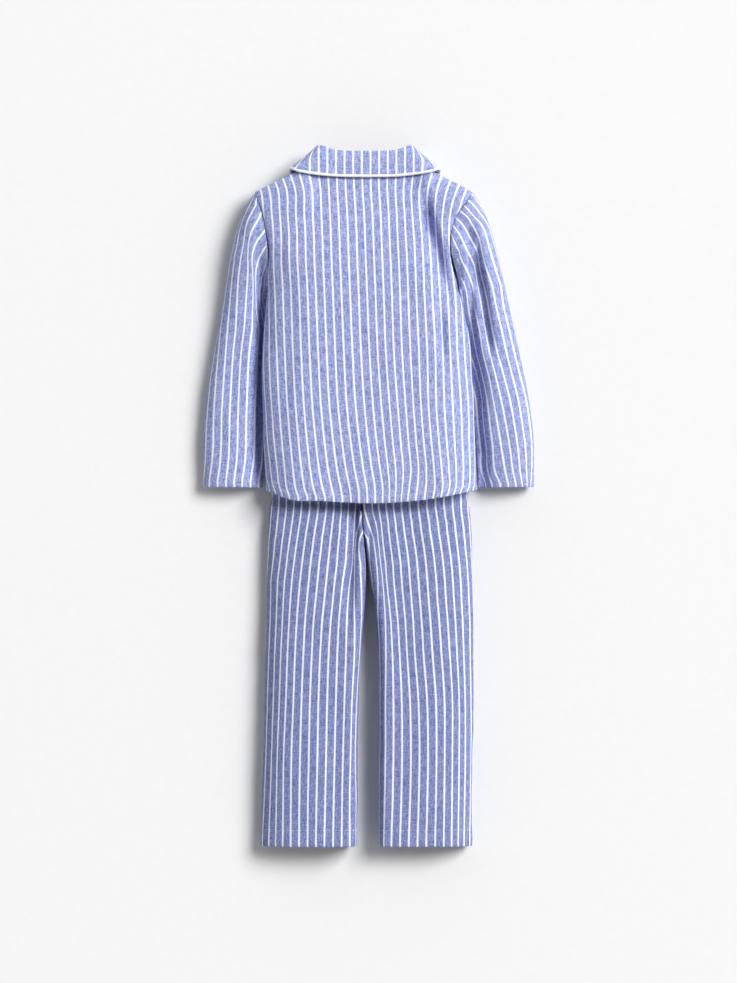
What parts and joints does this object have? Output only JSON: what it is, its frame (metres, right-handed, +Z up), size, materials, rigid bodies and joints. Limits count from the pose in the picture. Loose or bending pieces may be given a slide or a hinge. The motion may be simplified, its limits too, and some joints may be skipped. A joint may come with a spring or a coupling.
{
  "type": "striped pyjama set, jacket over trousers",
  "caption": "Child's striped flannel pyjama set laid face down: long-sleeved buttoned jacket with piped collar over long elastic-waist trousers.",
  "frame": {"origin": "on the floor, under the middle of the set's plan outline", "axes": "+Z up from the floor the set lies on, face down; +Y from the trouser hems to the collar; the wearer's left side is at -X"},
  "size_m": [0.4139, 0.8741, 0.06],
  "materials": {
    "striped_flannel": "brushed cotton flannel, mottled blue with fine white stripes along the grain, matt with a short nap",
    "white_piping": "plain white cotton piping, matt",
    "button_plastic": "pale semi-gloss plastic, four holes"
  },
  "bodies": {
    "root": {"jacket_back": "striped_flannel", "jacket_front_left": "striped_flannel", "jacket_front_right": "striped_flannel", "sleeve_left": "striped_flannel", "sleeve_right": "striped_flannel", "collar": "striped_flannel", "trouser_back_left": "striped_flannel", "trouser_back_right": "striped_flannel", "trouser_front_left": "striped_flannel", "trouser_front_right": "striped_flannel", "waistband": "striped_flannel", "collar_piping": "white_piping", "button_1": "button_plastic", "button_2": "button_plastic", "button_3": "button_plastic", "button_4": "button_plastic"}
  },
  "joints": []
}
